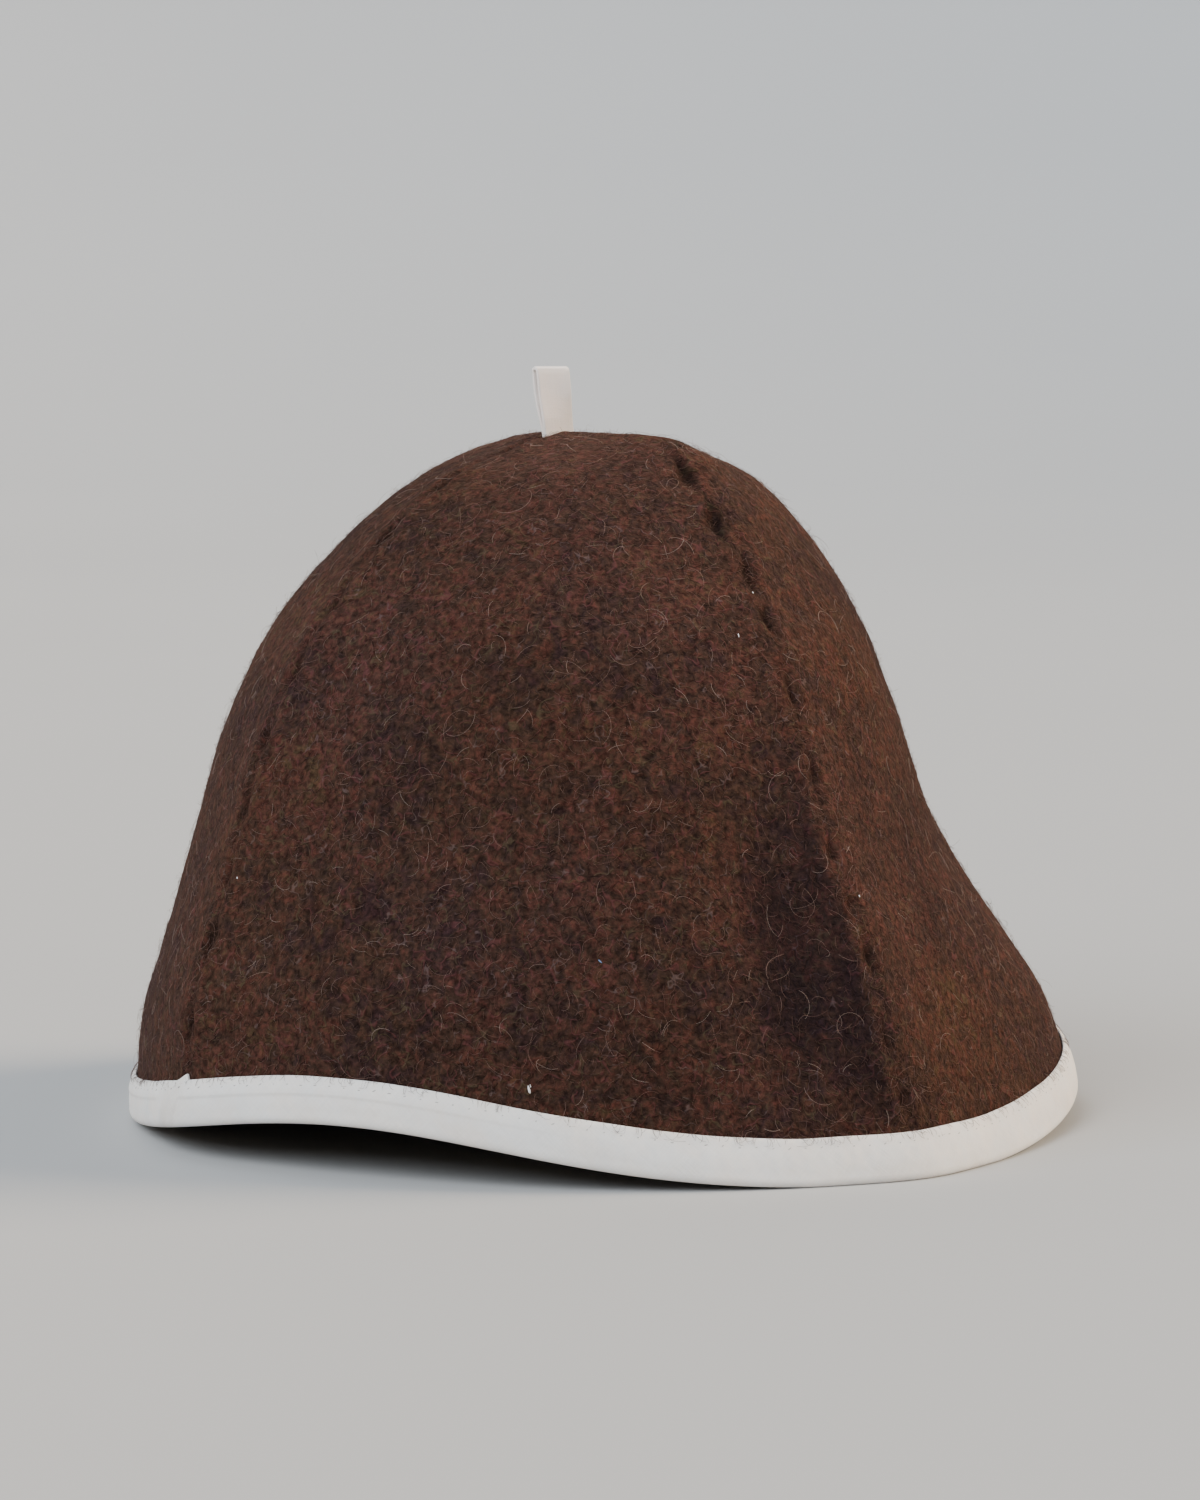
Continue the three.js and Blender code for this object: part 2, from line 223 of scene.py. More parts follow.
class Finish:
    """A material and short ways of adding nodes to it."""

    def __init__(self, name):
        self.material = bpy.data.materials.new(name)
        self.material.use_nodes = True
        self.tree = self.material.node_tree
        self.shader = self.tree.nodes["Principled BSDF"]

    def node(self, kind, **settings):
        made = self.tree.nodes.new("ShaderNode" + kind)
        for key, value in settings.items():
            setattr(made, key, value)
        return made

    def join(self, value, socket):
        """Gives a socket a link from another socket, or a plain value."""
        if isinstance(value, bpy.types.NodeSocket):
            self.tree.links.new(value, socket)
        else:
            socket.default_value = value

    def place(self):
        return self.node("TexCoord").outputs["Object"]

    def noise(self, place, scale, detail=2.0, roughness=0.5, distortion=0.0, colour=False):
        made = self.node("TexNoise")
        self.join(place, made.inputs["Vector"])
        self.join(scale, made.inputs["Scale"])
        self.join(detail, made.inputs["Detail"])
        self.join(roughness, made.inputs["Roughness"])
        self.join(distortion, made.inputs["Distortion"])
        return made.outputs["Color" if colour else "Fac"]

    def mapped(self, place, offset=(0, 0, 0), turn=(0, 0, 0), scale=(1, 1, 1)):
        made = self.node("Mapping")
        self.join(place, made.inputs["Vector"])
        self.join(offset, made.inputs["Location"])
        self.join(turn, made.inputs["Rotation"])
        self.join(scale, made.inputs["Scale"])
        return made.outputs["Vector"]

    def maths(self, operation, *values):
        made = self.node("Math", operation=operation)
        for value, socket in zip(values, made.inputs):
            self.join(value, socket)
        return made.outputs[0]

    def between(self, value, low, high, out_low=0.0, out_high=1.0):
        made = self.node("MapRange", interpolation_type="SMOOTHSTEP")
        for name, v in zip(
            ("Value", "From Min", "From Max", "To Min", "To Max"), (value, low, high, out_low, out_high)
        ):
            self.join(v, made.inputs[name])
        return made.outputs["Result"]

    def ramp(self, value, *stops):
        made = self.node("ValToRGB")
        self.join(value, made.inputs["Fac"])
        elements = made.color_ramp.elements
        while len(elements) < len(stops):
            elements.new(0.5)
        for element, (at, colour) in zip(elements, stops):
            element.position = at
            element.color = (*colour, 1)
        return made.outputs["Color"]

    def mix(self, share, first, second, blend="MIX"):
        made = self.node("Mix", data_type="RGBA", blend_type=blend)
        self.join(share, made.inputs["Factor"])
        for value, socket in ((first, made.inputs["A"]), (second, made.inputs["B"])):
            self.join((*value, 1) if isinstance(value, tuple) else value, socket)
        return made.outputs["Result"]

    def warped(self, place, scale, amount):
        """The place, pushed about by a coarse noise so that straight marks come out curly."""
        push = self.noise(place, scale, 1.0, colour=True)
        centred = self.node("VectorMath", operation="SUBTRACT")
        self.join(push, centred.inputs[0])
        self.join((0.5, 0.5, 0.5), centred.inputs[1])
        made = self.node("VectorMath", operation="MULTIPLY_ADD")
        self.join(centred.outputs[0], made.inputs[0])
        self.join((amount, amount, amount), made.inputs[1])
        self.join(place, made.inputs[2])
        return made.outputs[0]

    def hairs(self, place, scale, width, detail=0.0, mask_scale=None, mask_from=0.5):
        """Thin curved lines, where a noise passes its middle value, broken up by another noise."""
        field = self.noise(place, scale, detail)
        off = self.maths("ABSOLUTE", self.maths("SUBTRACT", field, 0.5))
        line = self.between(off, 0.0, width, 1.0, 0.0)
        if mask_scale is None:
            return line
        mask = self.between(self.noise(place, mask_scale, 1.0), mask_from, mask_from + 0.08)
        return self.maths("MULTIPLY", line, mask)

    def bump(self, height, distance, strength=1.0, below=None):
        made = self.node("Bump")
        self.join(height, made.inputs["Height"])
        self.join(distance, made.inputs["Distance"])
        self.join(strength, made.inputs["Strength"])
        if below is not None:
            self.join(below, made.inputs["Normal"])
        return made.outputs["Normal"]

    def shade(self, **values):
        names = {"colour": "Base Color", "roughness": "Roughness", "normal": "Normal",
                 "specular": "Specular IOR Level", "sheen": "Sheen Weight",
                 "sheen_roughness": "Sheen Roughness", "sheen_tint": "Sheen Tint"}
        for key, value in values.items():
            value = (*value, 1) if isinstance(value, tuple) else value
            self.join(value, self.shader.inputs[names[key]])
        return self.material


def floor_finish():
    f = Finish("pale_floor")
    tone = f.noise(f.place(), 1.3, 3.0)
    colour = f.mix(tone, (0.405, 0.409, 0.410), (0.430, 0.433, 0.434))
    return f.shade(colour=colour, roughness=0.75, specular=0.2)


def felt_finish():
    """Thick brown wool felt: red, olive, plum and grey fibres matted together."""
    f = Finish("brown_felt")
    place = f.place()
    curly = f.warped(place, 210, 0.0042)
    fine = f.warped(place, 560, 0.0014)
    # dye: broad clouds, then tufts of a few millimetres, each in its own brown
    cloud = f.noise(place, 30, 2.0, 0.5)
    tuft = f.noise(curly, 235, 3.0, 0.62)
    shade = f.maths("ADD", f.maths("MULTIPLY", cloud, 0.42), f.maths("MULTIPLY", tuft, 0.58))
    browns = f.ramp(
        shade,
        (0.36, (0.0225, 0.0122, 0.0128)),
        (0.44, (0.0280, 0.0158, 0.0132)),
        (0.50, (0.0350, 0.0192, 0.0138)),
        (0.56, (0.0465, 0.0200, 0.0155)),
        (0.64, (0.0440, 0.0268, 0.0158)),
    )
    hue = f.noise(f.mapped(curly, (5, 2, 8)), 270, 2.0, 0.6)
    toned = f.mix(0.72, browns, f.ramp(hue, (0.33, (0.92, 1.01, 1.00)), (0.5, (1.0, 1.0, 1.0)),
                                       (0.66, (1.14, 0.945, 0.955))), "MULTIPLY")
    # painted shade and highlight in the pile: its tone follows the fine bump, darker in its low places
    # and lighter on its tops
    depth = f.noise(fine, 640, 3.0, 0.62)
    deep = f.mix(0.92, toned, f.ramp(depth, (0.32, (0.39, 0.37, 0.38)), (0.5, (0.97, 0.96, 0.96)),
                                     (0.68, (1.72, 1.58, 1.54))), "MULTIPLY")
    # matted red, olive and grey hairs, and painted shade in the dark gaps between them, each layer on
    # its own place
    colour, layers = deep, []
    for base, offset, scale, width, patches, start, share, dye in (
        (curly, (0, 0, 0), 205, 0.034, 290, 0.47, 0.40, (0.110, 0.037, 0.038)),
        (curly, (3, 1, 2), 260, 0.036, 230, 0.49, 0.46, (0.068, 0.053, 0.031)),
        (fine, (7, 5, 1), 310, 0.030, 210, 0.52, 0.44, (0.122, 0.084, 0.080)),
        (fine, (1, 6, 4), 340, 0.040, 260, 0.50, 0.48, (0.0068, 0.0043, 0.0045)),
    ):
        lines = f.hairs(f.mapped(base, offset), scale, width, 0.0, patches, start)
        colour = f.mix(f.maths("MULTIPLY", lines, share), colour, dye)
        layers.append(lines)
    red_hairs, olive_hairs, grey_hairs, shaded_gaps = layers
    cast = f.noise(f.mapped(place, (2, 9, 4)), 14, 2.0, 0.5)
    cool_or_warm = f.ramp(cast, (0.40, (1.0, 1.0, 1.05)), (0.60, (1.01, 1.0, 0.94)))
    colour = f.mix(1.0, colour, cool_or_warm, "MULTIPLY")
    # painted shade: the felt is darker and bluer where it lies hollow, and nearly black in the pits
    # where stitches pull it in
    hollow_shade = f.node("Attribute", attribute_name="hollow_shade").outputs["Fac"]
    colour = f.mix(hollow_shade, colour, (0.58, 0.61, 0.72), "MULTIPLY")
    colour = f.mix(f.maths("MULTIPLY", hollow_shade, 0.30), colour, (0.0125, 0.0079, 0.0084))
    # painted shade, nearly black, in the stitch pits and faintly along the seam's crease
    pulled = f.node("Attribute", attribute_name="pit_shade").outputs["Fac"]
    colour = f.mix(f.maths("MULTIPLY", pulled, 0.75), colour, (0.0045, 0.0026, 0.0022))

    grain = f.noise(fine, 1250, 3.0, 0.65)
    raised = f.maths("MAXIMUM", red_hairs, f.maths("MAXIMUM", olive_hairs, grey_hairs))
    height = f.maths("MULTIPLY", grain, 0.30)
    for part, share in ((depth, 0.75), (tuft, 0.8), (raised, 0.20), (shaded_gaps, -0.20)):
        height = f.maths("ADD", height, f.maths("MULTIPLY", part, share))
    return f.shade(colour=colour, roughness=0.95, specular=0.04, sheen=0.07, sheen_roughness=0.50,
                   sheen_tint=(0.72, 0.40, 0.28), normal=f.bump(height, 0.00105))


def fibre_finish():
    """Loose wool fibres that stand off the felt, each one of a few colours."""
    f = Finish("loose_wool")
    tint = f.node("Attribute", attribute_name="fibre_tint").outputs["Fac"]
    colour = f.ramp(
        tint,
        (0.0, (0.028, 0.0140, 0.0120)),
        (0.25, (0.068, 0.0300, 0.0240)),
        (0.45, (0.112, 0.0580, 0.0460)),
        (0.65, (0.175, 0.1000, 0.0820)),
        (0.85, (0.275, 0.1880, 0.1600)),
        (1.0, (0.400, 0.3150, 0.2650)),
    )
    return f.shade(colour=colour, roughness=0.62, specular=0.12)


def lint_finish():
    f = Finish("stray_lint")
    tint = f.node("Attribute", attribute_name="lint_tint").outputs["Fac"]
    fluff = f.noise(f.place(), 2600, 2.0, 0.6)
    colour = f.mix(tint, f.mix(fluff, (0.60, 0.58, 0.58), (0.86, 0.85, 0.86)), (0.16, 0.24, 0.42))
    return f.shade(colour=colour, roughness=0.85, specular=0.15, normal=f.bump(fluff, 0.0003))


def woven_height(f, length, across, pitch):
    """A plain weave as a height: over one thread, under the next."""
    turn = 2 * math.pi / pitch
    warp = f.maths("SINE", f.maths("MULTIPLY", length, turn))
    weft = f.maths("SINE", f.maths("MULTIPLY", across, turn))
    return f.maths("MULTIPLY", warp, weft)


def tape_finish(name, map_name, pale, shaded, pitch, slant, sheen):
    """Cotton tape on its own flat map, in metres: weave, slubs, and a faint uneven tone, partly the
    tape's own mottle and partly painted shade and highlight, as it is paler where the weave, slubs and
    creases rise in the bump.
    """
    f = Finish(name)
    flat = f.node("UVMap", uv_map=map_name).outputs["UV"]
    woven = f.mapped(flat, turn=(0, 0, slant))
    split = f.node("SeparateXYZ")
    f.join(woven, split.inputs[0])
    length, across = split.outputs[0], split.outputs[1]
    weave = woven_height(f, length, across, pitch)
    slub_one = f.noise(f.mapped(woven, scale=(120, 2600, 1)), 1.0, 2.0, 0.6)
    slub_two = f.noise(f.mapped(woven, offset=(3, 8, 0), scale=(2600, 120, 1)), 1.0, 2.0, 0.6)
    slubs = f.maths("ADD", slub_one, slub_two)
    cloud = f.noise(flat, 55, 3.0, 0.6)
    tone = f.maths("ADD", f.maths("MULTIPLY", cloud, 0.6), f.maths("MULTIPLY", slubs, 0.28))
    tone = f.maths("ADD", tone, f.maths("MULTIPLY", weave, 0.045))
    # paler where the bump rises and darker in its low places: partly the tape's own mottle, partly
    # painted highlight and shade
    mottled_and_shaded = f.mix(f.between(tone, 0.30, 0.82), shaded, pale)
    cast = f.noise(f.mapped(flat, (4, 7, 0)), 85, 3.0, 0.6)
    cool_or_warm = f.ramp(cast, (0.36, (0.965, 0.985, 1.0)), (0.64, (1.0, 0.972, 0.945)))
    colour = f.mix(1.0, mottled_and_shaded, cool_or_warm, "MULTIPLY")
    height = f.maths("ADD", f.maths("MULTIPLY", weave, 0.6), slubs)
    creases = f.bump(cloud, 0.0009, 0.6)
    return f.shade(colour=colour, roughness=0.74, specular=0.28, sheen=sheen, sheen_roughness=0.4,
                   normal=f.bump(height, 0.00009, 0.9, creases))


def thread_finish(name, dark, light):
    f = Finish(name)
    twist = f.noise(f.place(), 2400, 2.0, 0.6)
    return f.shade(colour=f.mix(twist, dark, light), roughness=0.7, specular=0.2,
                   normal=f.bump(twist, 0.0001, 0.6))


# ---------------------------------------------------------------- the bell's form


def smoothstep(value, low, high):
    t = np.clip((value - low) / (high - low), 0, 1)
    return t * t * (3 - 2 * t)


def smooth_curve(rows, t):
    """A smooth curve through the rows of a table, at row numbers t."""
    ends = np.vstack([2 * rows[0] - rows[1], rows, 2 * rows[-1] - rows[-2]])
    i = np.minimum(t.astype(int), len(rows) - 2)
    w = (t - i)[..., None]
    before, here, there, after = ends[i], ends[i + 1], ends[i + 2], ends[i + 3]
    leave, arrive = (there - before) / 2, (after - here) / 2
    rise = there - here
    bend, twist = 3 * rise - 2 * leave - arrive, leave + arrive - 2 * rise
    return here + leave * w + bend * w**2 + twist * w**3


def section(level):
    """The table's columns as smooth curves of one parameter, 0 at the rim and 1 at the top."""
    curve = smooth_curve(BELL, np.clip(level, 0, 1) * (len(BELL) - 1))
    return np.moveaxis(curve, -1, 0)


def dented(angle, height, radius):
    depth = np.zeros(np.broadcast(angle, height).shape)
    for at, level, inwards, across, along in DENTS:
        turn = (angle - math.radians(at) + math.pi) % (2 * math.pi) - math.pi
        near = (turn * radius / (across * MM)) ** 2 + ((height - level * MM) / (along * MM)) ** 2
        depth = depth + inwards * MM * np.exp(-near)
    return depth


def flat_reach(angle, square):
    """How much further out a gore's flat plan lies than at its middle, its corners rounded."""
    from_middle = np.abs(angle % QUARTER - QUARTER / 2)
    over = np.maximum(0, from_middle - (QUARTER / 2 - CORNER_SOFTNESS))
    return 1 + square * (1 / np.cos(from_middle - over**2 / (2 * CORNER_SOFTNESS)) - 1)


def rim_lift(angle):
    """How far the rim stands above the ground."""
    lift = -FLATTENED
    for at, high, across in ARCHES:
        turn = (angle - math.radians(at) + math.pi) % (2 * math.pi) - math.pi
        lift = lift + high * MM * np.exp(-((turn * BELL[0, 3] / (across * MM)) ** 2))
    return np.maximum(0, lift)


def bell(level, angle):
    """Points on the bell's outer face."""
    height, back, depth, width, square = section(level)
    plane = flat_reach(angle, square) / flat_reach(0.0, square)
    reach = plane - dented(angle, height, width) / np.maximum(width, MM)
    raised = height + rim_lift(angle) * (1 - smoothstep(height, *ARCH_FADE))
    return np.stack(
        [width * reach * np.sin(angle), back - depth * reach * np.cos(angle), raised], axis=-1
    )


def unit(vectors):
    return vectors / np.maximum(np.linalg.norm(vectors, axis=-1, keepdims=True), 1e-12)


def outward(level, angle):
    """The direction out of the felt, shared by the two gores that meet at a seam."""
    step, turn = 1e-3, math.radians(3)
    up = bell(np.minimum(level + step, 1), angle) - bell(np.maximum(level - step, 0), angle)
    normal = unit(np.cross(bell(level, angle + turn) - bell(level, angle - turn), up))
    height = section(level)[0]
    normal[..., 2] *= smoothstep(height, BINDING_HEIGHT, 4 * BINDING_HEIGHT)
    return unit(normal)


def wall(level, angle, out):
    return bell(level, angle) + outward(level, angle) * np.asarray(out)[..., None]


LEVEL_TABLE = np.linspace(0, 1, 2001)
HEIGHT_TABLE = section(LEVEL_TABLE)[0]
PLAIN_SIDE = np.full(LEVEL_TABLE.shape, math.radians(315))   # where the rim has no arch
CLIMB_TABLE = np.concatenate(
    [[0], np.cumsum(np.linalg.norm(np.diff(bell(LEVEL_TABLE, PLAIN_SIDE), axis=0), axis=1))]
)
WALL_LENGTH = CLIMB_TABLE[-1]


def level_at_height(height):
    return np.interp(height, HEIGHT_TABLE, LEVEL_TABLE)


def level_at_climb(climb):
    """The level after climbing that far up the wall from the felt's lower edge."""
    return np.interp(climb, CLIMB_TABLE, LEVEL_TABLE)


# ---------------------------------------------------------------- the hand-sewn seams

SEAM_SEED = 11

DARKEST_SHADE_PULL = 1.3 * MM     # how far in the felt is pulled where its painted shade is darkest
CORNER_CLIMB = 206 * MM     # how far up the soft corner of the left side seam is
CORNER_RISE = 1.5 * MM
CORNER_BELOW = 18 * MM      # how far it reaches down the seam,
CORNER_ABOVE = 16 * MM      # up it
CORNER_REACH = 13 * MM      # and to each side

# Places where the stitches pull a seam in: climb, side, depth, length and width, in mm
SIDE_SEAM_TOP = (
    (210, -1.2, 0.8, 6.0, 2.0),
    (195.5, -5.2, 1.9, 13.5, 2.5),
    (175.5, -4.2, 1.9, 12.0, 2.5),
    (157, -1.0, 1.5, 12.0, 2.2),
    (142.5, -0.8, 1.6, 7.0, 2.2),
    (122, -0.6, 1.1, 7.5, 1.8),
)
SIDE_SEAM_FOOT = (
    (101, 0.4, 0.75, 6.0, 1.5),
    (82, -0.5, 0.85, 5.0, 1.6),
    (69, 0.3, 0.60, 4.0, 1.4),
    (55, 0.5, 1.20, 6.5, 1.8),
    (34, -0.3, 0.95, 5.0, 1.6),
    (18.5, 0.4, 0.85, 4.5, 1.5),
)
FRONT_SEAM_FOOT = (
    (14, 0.3, 0.7, 5.0, 1.7),
    (26, -0.4, 1.1, 11.0, 2.1),
    (50, 0.4, 1.4, 11.0, 2.3),
    (71, -0.3, 0.9, 8.0, 1.8),
)


def seam_pulls(seam):
    """The pulled-in places up one seam, as rows of climb, side, depth, length and width."""
    draw = np.random.default_rng(SEAM_SEED + seam)
    rows = list(SIDE_SEAM_FOOT + SIDE_SEAM_TOP if seam in (1, 3) else FRONT_SEAM_FOOT)
    if seam in (2, 3):
        rows = [
            (c + draw.uniform(-5, 5), -s, d * draw.uniform(0.8, 1.1), l * draw.uniform(0.8, 1.2), w)
            for c, s, d, l, w in rows
        ]
    climb = max(row[0] for row in rows) + 20
    while climb < WALL_LENGTH / MM - 14:
        rows.append((climb, draw.uniform(-0.5, 0.5), draw.uniform(0.8, 1.4), draw.uniform(7, 11), 2.1))
        climb += draw.uniform(17, 24)
    return MM * np.array(rows)


SEAM_PULLS = [seam_pulls(k) for k in range(4)]


def pits(seam, side, climb):
    """How deep the stitches pull the felt in, at a signed distance from a seam line."""
    depth = np.zeros(np.broadcast(side, climb).shape)
    for at, off, deep, length, width in SEAM_PULLS[seam % 4]:
        along = (climb - at) / (0.52 * length)
        wander = off + 0.45 * MM * np.sin(2.6 * along + at / MM)
        narrow = width * (0.72 + 0.28 * np.cos(3.1 * along + at / MM))
        shape = np.exp(-np.abs(along) ** 2.6 - ((side - wander) / narrow) ** 2)
        depth = np.maximum(depth, deep * shape)
    return depth


def lumps(points, seed):
    """The felt's uneven face, as a height over each point."""
    flat = points.reshape(-1, 3)
    total = np.zeros(len(flat))
    for size, height in LUMPS:
        place = flat / size + seed
        total += height * np.array([noise.noise(p) for p in place.tolist()])
    return total.reshape(points.shape[:-1])


def seam_distances(angle, seam, radius):
    """Signed distances from a gore's two seam lines, inwards positive."""
    return radius * (angle - seam * QUARTER), radius * ((seam + 1) * QUARTER - angle)


def crown_corner(seam, angle, climb, radius):
    """The soft corner that the top of the left side seam stands out in."""
    first, second = seam_distances(angle, seam, radius)
    if seam % 4 not in (0, 1):
        return np.zeros(np.broadcast(first, climb).shape)
    to_left_seam = first if seam % 4 else second
    along = climb - CORNER_CLIMB
    reach = np.where(along < 0, CORNER_BELOW, CORNER_ABOVE)
    return CORNER_RISE * np.exp(-((along / reach) ** 2) - (to_left_seam / CORNER_REACH) ** 2)


def felt_relief(seam, angle, climb, radius, height):
    """What seams and stitches do to a gore's outer face, and how far it is pulled in, with a little of
    the seam's crease added: this sets the painted shade in the pits.
    """
    first, second = seam_distances(angle, seam, radius)
    pulled = pits(seam, first, climb) + pits(seam + 1, -second, climb)
    nearest = np.minimum(first, second)
    welt = SEAM_WELT * np.exp(-((nearest / WELT_REACH) ** 2))
    welt = welt + SEAM_RIDGE * np.exp(-(((nearest - 3 * MM) / RIDGE_REACH) ** 2))
    crease = SEAM_CREASE * np.exp(-((nearest / (1.1 * MM)) ** 2))
    fade = smoothstep(height, BINDING_HEIGHT, 1.6 * BINDING_HEIGHT)
    corner = crown_corner(seam, angle, climb, radius)
    return (welt - crease - pulled) * fade + corner, pulled * fade + 0.25 * crease


def felt_hollow_shade(seam, angle, radius, height):
    """How much painted shade a gore has where it lies hollow, from 0 to 1. The roll of a side seam
    stands clear of it.
    """
    first, second = seam_distances(angle, seam, radius)
    to_side_seam = second if seam in (0, 2) else first
    hollow_shade = smoothstep(dented(angle, height, radius), 1.0 * MM, 2.7 * MM)
    if seam in (1, 2):
        return hollow_shade * smoothstep(to_side_seam, 20 * MM, 60 * MM)
    # in front of a side seam a narrow valley of painted shade runs down beside the roll
    valley_shade = 0.85 * np.exp(-(((to_side_seam - VALLEY_SHADE_FROM_SEAM) / VALLEY_SHADE_REACH) ** 2))
    valley_shade = valley_shade * smoothstep(height, 8 * MM, 26 * MM) * (1 - smoothstep(height, 74 * MM, 112 * MM))
    return np.maximum(hollow_shade, valley_shade) * smoothstep(to_side_seam, 0.8 * MM, 5.2 * MM)


# ---------------------------------------------------------------- pieces


def places(mesh):
    co = np.zeros(len(mesh.vertices) * 3)
    mesh.vertices.foreach_get("co", co)
    return co.reshape(-1, 3)


def set_places(mesh, points):
    mesh.vertices.foreach_set("co", np.asarray(points, float).ravel())
    mesh.update()


def set_point_value(mesh, name, values):
    made = mesh.attributes.new(name, "FLOAT", "POINT")
    made.data.foreach_set("value", np.asarray(values, np.float32).ravel())


def finished(obj, name, material, node=None, angle=40):
    """Names a piece, shades it, and puts it on the frame."""
    obj.name = name
    obj.data.name = name
    obj.data.materials.clear()
    obj.data.materials.append(material)
    deselect()
    obj.select_set(True)
    bpy.context.view_layer.objects.active = obj
    if angle is None:
        bpy.ops.object.shade_smooth()
    else:
        bpy.ops.object.shade_smooth_by_angle(angle=math.radians(angle))
    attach(obj, "root")
    if node:
        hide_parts(node)
    return obj


def open_slit(points):
    """Parts the felt at the top of the front to back seam, where the loop's tails go in."""
    half, reach = 1.4 * MM, 6 * MM
    top = CROWN_HEIGHT
    middle = LOOP_BACK + LOOP_LEAN * (points[..., 2] - top)
    along = np.abs(points[..., 1] - middle)
    deep = smoothstep(points[..., 2], top - 16 * MM, top - 12 * MM)
    part = half * (1 - smoothstep(along, LOOP_WIDTH / 2 + 0.2 * MM, LOOP_WIDTH / 2 + 2.4 * MM)) * deep
    x = np.abs(points[..., 0])
    parted = np.where(x < reach, part + x * (1 - part / reach), x)
    points[..., 0] = np.sign(points[..., 0]) * parted
    return points


def gore(seam, name, material):
    """One felt gore: a flat grid thickened by extruding, then shaped like the pattern it is cut to."""
    deselect()
    bpy.ops.mesh.primitive_grid_add(x_subdivisions=GORE_COLUMNS, y_subdivisions=GORE_ROWS, size=1)
    obj = bpy.context.object
    bpy.ops.object.mode_set(mode="EDIT")
    bpy.ops.mesh.select_all(action="SELECT")
    bpy.ops.mesh.extrude_region_move(TRANSFORM_OT_translate={"value": (0, 0, -0.1)})
    bpy.ops.mesh.select_all(action="SELECT")
    bpy.ops.mesh.normals_make_consistent(inside=False)
    bpy.ops.object.mode_set(mode="OBJECT")
    flat = places(obj.data)
    across, up, inside = flat[:, 0] + 0.5, flat[:, 1] + 0.5, flat[:, 2] < -0.05
    across = across - SEAM_CROWDING * np.sin(2 * math.pi * across) / (2 * math.pi)
    climb = up * WALL_LENGTH
    level = level_at_climb(climb)
    height, _, _, radius, _ = section(level)
    clear = np.arcsin(np.minimum(SEAM_GAP / 2 / radius, 0.5))
    angle = seam * QUARTER + clear + across * (QUARTER - 2 * clear)
    relief, pulled = felt_relief(seam, angle, climb, radius, height)
    face = bell(level, angle)
    fade = smoothstep(height, BINDING_HEIGHT, 1.8 * BINDING_HEIGHT)
    uneven = lumps(face, UNEVEN_OUTSIDE) * fade
    corner = crown_corner(seam, angle, climb, radius)
    inner = corner - FELT_THICKNESS + 0.25 * (relief - corner).clip(-1 * MM, 0)
    inner = inner + lumps(face, UNEVEN_INSIDE) * fade
    out = np.where(inside, inner, relief + uneven)
    points = open_slit(wall(level, angle, out))
    set_places(obj.data, points)
    # painted shade in the stitch pits and along the seam's crease
    set_point_value(obj.data, "pit_shade", np.clip(pulled / DARKEST_SHADE_PULL, 0, 1) * ~inside)
    # painted shade in the hollows and in the valley in front of each side seam
    set_point_value(obj.data, "hollow_shade", felt_hollow_shade(seam, angle, radius, height) * ~inside)
    return finished(obj, name + "_felt", material, name)


def tube_points(paths, normals, radii, sides):
    """Rings of points round many short paths. Arrays: (tubes, steps, sides, 3)."""
    tangent = unit(np.gradient(paths, axis=1))
    side = unit(np.cross(tangent, normals))
    lift = np.cross(side, tangent)
    turns = 2 * math.pi * np.arange(sides) / sides
    ring = (
        np.cos(turns)[:, None] * side[:, :, None, :] + np.sin(turns)[:, None] * lift[:, :, None, :]
    )
    return paths[:, :, None, :] + radii[:, :, None, None] * ring


def tubes(name, bundles, sides):
    """Closed thin tubes in bundles of paths, normals and radii, joined as one mesh."""
    points, faces, first = [], [], 0
    for paths, normals, radii in bundles:
        count, steps = paths.shape[:2]
        points.append(tube_points(paths, normals, radii, sides).reshape(-1, 3))
        index = first + np.arange(count * steps * sides).reshape(count, steps, sides)
        after = np.roll(index, -1, axis=2)
        quads = np.stack([index[:, :-1], index[:, 1:], after[:, 1:], after[:, :-1]], axis=-1)
        faces += quads.reshape(-1, 4).tolist() + index[:, 0].tolist() + index[:, -1, ::-1].tolist()
        first += count * steps * sides
    mesh = bpy.data.meshes.new(name)
    mesh.from_pydata(np.concatenate(points).tolist(), [], faces)
    mesh.update()
    obj = bpy.data.objects.new(name, mesh)
    bpy.context.scene.collection.objects.link(obj)
    return obj


# Loose fibres of one kind on one gore: how many, points, shortest and longest, tightest and widest
# curl, lift, tilt of the curl in degrees, thickness, darkest and lightest tint, where they grow
FIBRE_KINDS = (
    (1900, 5, 1.8, 4.4, 1.1, 4.0, 0.22, 36, 0.034, 0.10, 0.66, "all_over"),
    (420, 5, 1.8, 4.6, 1.2, 4.5, 0.32, 35, 0.042, 0.05, 0.60, "seam"),
    (1420, 8, 4.0, 10.5, 2.1, 6.5, 0.42, 28, 0.0265, 0.30, 0.97, "all_over"),
    (80, 14, 9.0, 18.0, 2.8, 5.5, 0.60, 14, 0.030, 0.48, 0.98, "all_over"),
    (800, 4, 1.2, 3.2, 1.2, 4.0, 1.60, 0, 0.030, 0.10, 0.75, "standing"),
    (200, 5, 1.6, 3.6, 1.2, 4.0, 0.35, 0, 0.036, 0.10, 0.60, "edge"),
)
FIBRE_SEED = 203
FIBRE_SIDES = 3
FIBRE_SUNK = 0.03 * MM      # how deep a fibre's ends go into the felt
OVER_TAPE = 0.22 * MM       # how far off the tape a fibre lies where it crosses the edge


